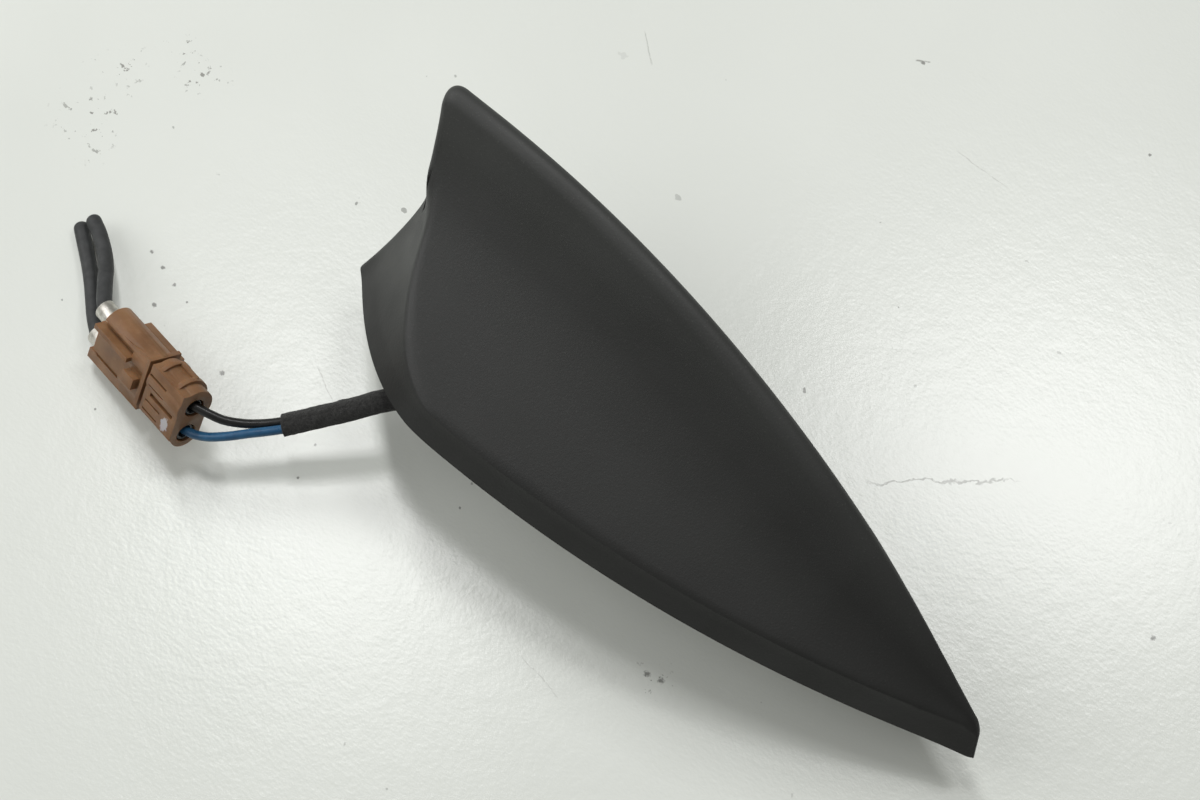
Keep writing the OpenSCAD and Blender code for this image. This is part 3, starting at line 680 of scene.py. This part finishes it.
def makeSleeve():
    s = sleeveSettings
    line = splinePath(leadSettings["route"][leadSettings["sleeveFrom"]:], s["perSpan"])
    verts, faces = [], []
    last = len(line) - 1
    for shell, (wide, high) in enumerate(((s["wide"], s["high"]), (s["boreWide"], s["boreHigh"]))):
        for i, p in enumerate(line):
            t, side = sideways(line, i)
            up = side.cross(t)
            for k in range(s["around"]):
                a = 2 * math.pi * k / s["around"]
                out = side * math.cos(a) * wide + up * math.sin(a) * high
                if shell == 0:             # soft lumps, and the tape's shallow lap along one side
                    broad = noise.noise((p + out) * s["lumpScale"]) * s["lumps"]
                    lumps = broad + noise.noise((p + out) * s["fineScale"]) * s["lumps"] * 0.5
                    lap = s["lap"] * math.exp(-((a - s["lapAt"]) / s["lapWide"]) ** 2)
                    out = out * (1 + (lumps - lap - 0.02) / s["wide"])
                verts.append((p + out) * mm)
    n = s["around"]
    count = (last + 1) * n
    for i in range(last):
        for k in range(n):
            a, b = i * n + k, i * n + (k + 1) % n
            faces.append((a, b, b + n, a + n))
            faces.append((count + a, count + a + n, count + b + n, count + b))
    for k in range(n):
        a, b = k, (k + 1) % n
        faces.append((b, a, count + a, count + b))
        a, b = last * n + k, last * n + (k + 1) % n
        faces.append((a, b, count + b, count + a))
    return addPiece("feltSleeve", verts, faces, fleece)


def fibreTree():
    s = sleeveSettings
    sockets = (("Density", "Float", 100.0), ("Length", "Float", 0.001), ("Radius", "Float", 0.00003),
               ("Seed", "Int", 1))
    tree, start = newTree("feltFibres", "Sleeve", sockets, "Fibres")
    nodes, links = tree.nodes, tree.links
    scatter = nodes.new("GeometryNodeDistributePointsOnFaces")
    cone = nodes.new("GeometryNodeMeshCone")
    cone.inputs["Vertices"].default_value = 3
    cone.inputs["Side Segments"].default_value = 1
    cone.fill_type = "NONE"
    stand = nodes.new("GeometryNodeInstanceOnPoints")
    lean = nodes.new("FunctionNodeRandomValue")
    lean.data_type = "FLOAT_VECTOR"
    lean.inputs[0].default_value = (-s["fibreLean"], -s["fibreLean"], -3.1)
    lean.inputs[1].default_value = (s["fibreLean"], s["fibreLean"], 3.1)
    tilt = nodes.new("FunctionNodeRotateRotation")
    tilt.rotation_space = "LOCAL"
    size = nodes.new("FunctionNodeRandomValue")
    size.data_type = "FLOAT"
    size.inputs[2].default_value = s["fibreShortest"]
    size.inputs[3].default_value = 1.0
    links.new(start.outputs["Sleeve"], scatter.inputs["Mesh"])
    links.new(start.outputs["Density"], scatter.inputs["Density"])
    links.new(start.outputs["Seed"], scatter.inputs["Seed"])
    links.new(start.outputs["Radius"], cone.inputs["Radius Bottom"])
    links.new(start.outputs["Length"], cone.inputs["Depth"])
    links.new(scatter.outputs["Points"], stand.inputs["Points"])
    links.new(cone.outputs["Mesh"], stand.inputs["Instance"])
    links.new(scatter.outputs["Rotation"], tilt.inputs[0])
    links.new(lean.outputs[0], tilt.inputs[1])
    links.new(tilt.outputs[0], stand.inputs["Rotation"])
    links.new(size.outputs[1], stand.inputs["Scale"])
    return finishTree(tree, start, stand.outputs[0])


def makeFibres(sleeve):
    s = sleeveSettings
    fibres = addObject("feltFibres", sleeve.data.copy())
    area = sum(polygon.area for polygon in fibres.data.polygons)
    modifier = fibres.modifiers.new("fibres", "NODES")
    modifier.node_group = fibreTree()
    setInput(modifier, "Density", s["fibres"] / area)
    setInput(modifier, "Length", s["fibreLength"] * mm)
    setInput(modifier, "Radius", s["fibreRadius"] * mm)
    setInput(modifier, "Seed", s["seed"])
    setInput(modifier, "Finish", fleeceNap)
    fibres.update_tag()
    return freeze(fibres)


sleeve = makeSleeve()
fibres = makeFibres(sleeve)
dress(sleeve, "fleece", "fleece_sleeve")
dress(fibres, "fleece")
print("sleeve made,", len(fibres.data.polygons), "fibre faces")

# fin cover, by the same rules as the solid and much finer

coverSettings = {
    "noseX": 110.75, "sternX": -81.2, "wideX": -29, "halfW": 35.3, "rimZ": 0.6, "wall": 2,
    # plan
    "nosePower": 2.03, "sternPower": 2.21, "blunt": 2.2, "bluntOver": 3, "bluntEase": 0.6,
    # top line, with its apex over the stern and the tip of the nose
    "crestZ": 64.3, "crestX": -68, "crestRun": 173.6, "crestDrop": 53, "crestPower": 1.98,
    "crestRadius": 3.4, "apex": 4.4, "apexBack": 0.62, "tip": 2.6,
    # skirt and crease, then flank and blade
    "skirtZ": 9, "skirtShare": 0.72, "draft": 0.08, "skirtBlend": 1.6, "foot": 0.8,
    "shoulder": 1.63, "bladeW": 3.2, "bladeFoot": 5.5, "bladePower": 1.2, "bladeBlend": 12,
    # stern: its lean up to the knee, its overhang, and how its upper part is rounded off
    "kneeZ": 31, "sternLean": 6.4, "leanPower": 1.6, "hang": 6.84, "hangOver": 32,
    "hangPower": 1.65, "edgeWidth": 0.35, "edgeReach": 4, "roundZ": 30, "roundOver": 13.2,
    "roundLength": 2.2, "softOver": 20, "softBack": 0.9, "softLength": 6, "noseRake": 0.36,
    # how fine the mesh is
    "stations": 190, "wallRows": 30, "flankRows": 40}
# painted light along the cover: shade in the hollow and towards the nose, highlight on rear edge and
# blade
paintedLightSettings = {"hollow": 0.24, "hollowWide": 14, "edge": 0.32, "edgeHigh": 1.5, "edgeX": -50,
                "edgeOver": 12, "blade": 0.2, "paintedShading": 0.2, "fadeX": 20, "fadeOver": 90}


def roundMax(a, b, k):
    h = max(k - abs(a - b), 0) / k
    return max(a, b) + h * h * k / 4


def roundMin(a, b, k):
    return -roundMax(-a, -b, k)


def smoothStep(t):
    return t * t * (3 - 2 * t)


def quarterRound(t):                       # 0 to 1 as a quarter circle falls away
    return 1 - math.sqrt(max(1 - t * t, 0))


def reach(x):                              # 0 at the widest place, 1 at the nose and at the stern
    c = coverSettings
    if x > c["wideX"]:
        return (x - c["wideX"]) / (c["noseX"] - c["wideX"])
    return (c["wideX"] - x) / (c["wideX"] - c["sternX"])


def planHalf(x):
    c = coverSettings
    power = c["nosePower"] if x > c["wideX"] else c["sternPower"]
    b = c["halfW"] * (1 - min(reach(x), 1) ** power)
    return b + c["blunt"] * math.exp(-b / c["bluntOver"]) * math.sqrt(b / (b + c["bluntEase"]))


def crestHeight(x):
    c = coverSettings
    back = max(c["sternX"] + c["apexBack"] + c["apex"] - x, 0) / c["apex"]
    run = max(x - c["crestX"], 0) / c["crestRun"]
    return c["crestZ"] - c["crestDrop"] * run ** c["crestPower"] - c["apex"] * quarterRound(back)


def sternShift(z):                         # the stern leans in up to its knee, then hangs back over
    c = coverSettings
    if z < c["kneeZ"]:
        return c["sternLean"] * (1 - max(1 - z / c["kneeZ"], 0) ** c["leanPower"])
    return c["sternLean"] - c["hang"] * ((z - c["kneeZ"]) / c["hangOver"]) ** c["hangPower"]


def placeX(x, z):
    if x < coverSettings["wideX"]:
        return x + sternShift(z) * reach(x) ** 2
    return x - coverSettings["noseRake"] * z * reach(x) ** 12


def creaseLow(top):
    return min(coverSettings["skirtZ"], coverSettings["skirtShare"] * top)


def footHalf(x):
    c = coverSettings
    return (planHalf(x) if x > c["wideX"] else c["halfW"]) - c["foot"]


def flankAndBlade(x, z, top):              # half widths, and how much of their blend is used
    c = coverSettings
    u = max(z - creaseLow(top), 0) / (top - creaseLow(top))
    f = footHalf(x)
    blade = min(1, f / 20) * (c["bladeW"] + c["bladeFoot"] * max(1 - u, 0) ** c["bladePower"])
    return f * (1 - c["shoulder"] * u), blade, min(1, f / 30)


def flankHalf(x, z, top):
    flank, blade, share = flankAndBlade(x, z, top)
    return roundMax(flank, blade, coverSettings["bladeBlend"] * share)


def sectionHalf(x, z, top):
    c = coverSettings
    flank = flankHalf(x, z, top)
    w = roundMin(planHalf(x) - c["draft"] * z * reach(x), flank, c["skirtBlend"])
    if x < c["wideX"]:                     # the upper stern is rounded off
        soft = 1 - smoothStep(min(max((z - c["roundZ"]) / c["softOver"], 0), 1))
        over = max(x - c["sternX"] - c["softBack"] * soft, 0)
        t = min(over / (c["roundLength"] + c["softLength"] * soft), 1)
        rounded = flank * (1 - (1 - t) ** 3) ** (1 / 3)
        w += (rounded - w) * smoothStep(min(max((z - c["roundZ"]) / c["roundOver"], 0), 1))
    r = min(c["crestRadius"], 0.35 * top)
    up = max(z - top + r, 0) / r
    return w * math.sqrt(max(1 - up * up, 0))


def creaseAt(x, top):                      # height at which the skirt turns into the flank
    c = coverSettings
    b = planHalf(x)
    a = (1 - b / footHalf(x)) / c["shoulder"]
    k = 1 - (max(b - c["bladeW"], 0) / c["bladeFoot"]) ** 0.83
    if b >= c["bladeW"] + c["bladeFoot"]:
        k = 0
    u = min(max(a, k, 0), 0.9)
    return creaseLow(top) + u * (top - creaseLow(top))


def paintedLightAt(x, z, top):                     # painted shade in the flank's hollow and towards the nose, painted highlight on the rear edge and blade
    s = paintedLightSettings
    flank, blade, share = flankAndBlade(x, z, top)
    wide = s["hollowWide"] * share
    apart = flank - blade + 0.25 * wide
    hollow = max(wide - abs(apart), 0) / wide
    onBlade = min(max(-apart, 0) / wide, 1)
    rear = min(max((s["edgeX"] - x) / s["edgeOver"], 0), 1)
    edge = math.exp(-((z - creaseAt(x, top)) / s["edgeHigh"]) ** 2) * rear
    tone = 1 - s["hollow"] * hollow ** 1.5 + s["edge"] * edge + s["blade"] * onBlade
    return tone * (1 - s["paintedShading"] * (x - s["fadeX"]) / s["fadeOver"])


def edgeStart(z, tip):                     # where the stern begins to have width at this height
    c = coverSettings
    low = c["sternX"]
    high = low + c["edgeReach"]
    if sectionHalf(low, z, tip) > c["edgeWidth"] or sectionHalf(high, z, tip) < c["edgeWidth"]:
        return low
    for _ in range(22):
        middle = (low + high) / 2
        if sectionHalf(middle, z, tip) > c["edgeWidth"]:
            high = middle
        else:
            low = middle
    return high


def coverShell(inward, foot):              # one closed loop of points for each station
    c = coverSettings
    lo, hi = c["sternX"] + 1.2 * inward, c["noseX"] - 2 * inward
    wall, rows = c["wallRows"], c["wallRows"] + c["flankRows"]
    loops = []
    for i in range(c["stations"] + 1):
        x = lo + (hi - lo) * (1 - math.cos(math.pi * i / c["stations"])) / 2
        over = max(x - c["noseX"] + c["tip"], 0) / c["tip"]
        tip = crestHeight(placeX(x, 60 * (1 if x < 0 else 0.15))) - c["tip"] * quarterRound(over)
        top = tip - 1.2 * inward
        bend = min(creaseAt(x, tip), tip - 1.2, top - 0.5)
        half = []
        for j in range(rows + 1):
            if j < wall:
                z = foot + (bend - foot) * j / wall
            else:
                z = bend + (top - bend) * math.sin(math.pi / 2 * (j - wall) / c["flankRows"])
            slope = min(abs(sectionHalf(x, z, tip) - sectionHalf(x, z + 0.5, tip)) * 2, 1.1)
            s = inward * math.sqrt(1 + slope ** 2)
            plain = inward or x > c["sternX"] + c["edgeReach"] or j > rows - 3
            at = x if plain else max(x, edgeStart(z, tip))
            w = 0 if j == rows else max(sectionHalf(at, max(z, 0), tip) - s, 0.3)
            half.append((placeX(at, max(z, 0)), w, z, paintedLightAt(x, z, tip)))
        loops.append([(x0, -w, z, tone) for x0, w, z, tone in half] + half[-2::-1])
    return loops


def makeCover():
    c = coverSettings
    outer, inner = coverShell(0, c["rimZ"]), coverShell(c["wall"], c["rimZ"])
    n = len(outer[0])
    points = [p for loop in outer + inner for p in loop]
    verts = [Vector(p[:3]) * mm for p in points]
    count = len(outer) * n
    faces = []
    for i in range(len(outer) - 1):
        for j in range(n - 1):
            a = i * n + j
            faces.append((a, a + n, a + n + 1, a + 1))
            faces.append((count + a, count + a + 1, count + a + n + 1, count + a + n))
        for j in (0, n - 1):                 # rim, between the outer and inner wall
            a, b = i * n + j, (i + 1) * n + j
            faces.append((a, count + a, count + b, b) if j == 0 else (a, b, count + b, count + a))
    for i in (0, len(outer) - 1):            # ends of both shells, rows paired left to right
        for j in range(n // 2):
            a, b, d, e = i * n + j, i * n + j + 1, i * n + n - 2 - j, i * n + n - 1 - j
            quad = (a, b, d, e) if b != d else (a, b, e)
            faces.append(quad if i == 0 else quad[::-1])
            faces.append(tuple(count + q for q in (quad[::-1] if i == 0 else quad)))
        faces.append((i * n, i * n + n - 1, count + i * n + n - 1, count + i * n))
    cover = addPiece("finSkin", verts, faces, coverPlastic)
    # painted shade and highlight at each point, read by the cover's finish
    tones = cover.data.attributes.new("tone", "FLOAT", "POINT")
    tones.data.foreach_set("value", [p[3] for p in points])
    bm = bmesh.new()
    bm.from_mesh(cover.data)
    bmesh.ops.remove_doubles(bm, verts=bm.verts, dist=4e-5)
    bmesh.ops.dissolve_degenerate(bm, edges=bm.edges, dist=2e-5)
    bmesh.ops.recalc_face_normals(bm, faces=bm.faces)
    for edge in bm.edges:                  # only true corners, as at the rim, stay sharp
        if len(edge.link_faces) == 2 and edge.calc_face_angle(0) > 0.9:
            edge.smooth = False
    bm.to_mesh(cover.data)
    bm.free()
    return cover


cover = makeCover()
dress(cover, "cover_plastic", "fin_cover")
print("cover made,", len(cover.data.polygons), "faces")

# rigid pieces: the solid's own shape with its edges eased, as moulded or cast

easeSettings = {                           # name, finish, slot and width of the eased edge in mm
    "base_plate": ("castBase", dieCast, "die_cast", 0.35),
    "base_seal": ("outerSeal", sealRubber, "seal_rubber", 0.3),
    "boss_seal": ("bossSeal", sealRubber, "seal_rubber", 0.3),
    "cable_grommet": ("leadGrommet", sealRubber, "seal_rubber", 0.3),
    "plug_housing": ("plugBody", paintedBrown, "brown_plastic", 0.22),
    "plug_retainer": ("plugWedge", brownPlastic, "brown_plastic", 0.12),
    "socket_housing": ("socketBody", brownPlastic, "brown_plastic", 0.22),
    "socket_retainer": ("socketWedge", brownPlastic, "brown_plastic", 0.12),
    "socket_ferrules": ("tailFerrules", ferruleTin, "ferrule_tin", 0.12),
    "plug_crimps": ("leadCrimps", silver, "silver", 0.08)}


def easedCopy(nodeName, name, finish, width):
    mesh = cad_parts[nodeName].data.copy()
    mesh.name = name
    bm = bmesh.new()
    bm.from_mesh(mesh)
    bmesh.ops.remove_doubles(bm, verts=bm.verts, dist=2e-6)
    bmesh.ops.dissolve_limit(bm, angle_limit=0.01, verts=bm.verts, edges=bm.edges)
    bm.to_mesh(mesh)
    bm.free()
    mesh.materials.clear()
    mesh.materials.append(finish)
    mesh.polygons.foreach_set("use_smooth", [True] * len(mesh.polygons))
    piece = addObject(name, mesh)
    bevel = piece.modifiers.new("ease", "BEVEL")
    bevel.width = width * mm
    bevel.segments = 2
    bevel.limit_method = "ANGLE"
    bevel.angle_limit = math.radians(42)
    bevel.harden_normals = True
    return freeze(piece)


for nodeName, (name, finish, slotName, width) in easeSettings.items():
    dress(easedCopy(nodeName, name, finish, width), slotName, nodeName)
print("rigid pieces eased")

plainFinishes = {
    "circuit_board": (boardGreen, "board"), "shield_can": (tin, "tin"),
    "gps_patch": (patchCeramic, "patch_ceramic"), "patch_electrode": (silver, "silver"),
    "element_carrier": (carrierPlastic, "carrier_plastic"),
    "top_plate": (brassStrip, "brass_strip"), "loading_coil": (copperWire, "copper_wire"),
    "contact_spring": (brassStrip, "brass_strip"), "board_screws": (screwSteel, "screw_steel"),
    "cover_screws": (screwSteel, "screw_steel"), "lead_ferrules": (tin, "tin")}
for nodeName, (finish, slotName) in plainFinishes.items():
    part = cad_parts[nodeName]
    if not part.material_slots:
        part.data.materials.append(finish)
    for materialSlot in part.material_slots:
        materialSlot.material = finish
print("inner pieces finished")

# glossy ribbed seals round the leads, just inside the plug's two holes

sealSettings = {"around": 36,              # profile: how far in from the mouth, and radius
                "profile": [(0.5, 1.75), (0.4, 2.2), (0.7, 2.62), (1.1, 2.2), (1.5, 2.62), (1.9, 2.2),
                            (2.3, 2.62), (2.9, 2.4), (3.1, 1.35), (1.6, 1.35)]}


def makeSeals():
    profile, n = sealSettings["profile"], sealSettings["around"]
    verts, faces = [], []
    for way in (halfWay, -halfWay):
        first = len(verts)
        for k in range(n):
            a = 2 * math.pi * k / n
            verts += [onPair(x, way + r * math.sin(a), r * math.cos(a)) * mm for x, r in profile]
        count = len(profile)
        for k in range(n):
            for j in range(count):
                here, after, up = first + k * count, first + (k + 1) % n * count, (j + 1) % count
                faces.append((here + j, here + up, after + up, after + j))
    piece = addPiece("wireSeals", verts, faces, wetRubber)
    bm = bmesh.new()
    bm.from_mesh(piece.data)
    bmesh.ops.recalc_face_normals(bm, faces=bm.faces)
    bm.to_mesh(piece.data)
    bm.free()
    return piece


wireSeals = dress(makeSeals(), "seal_rubber")

print("scene made")
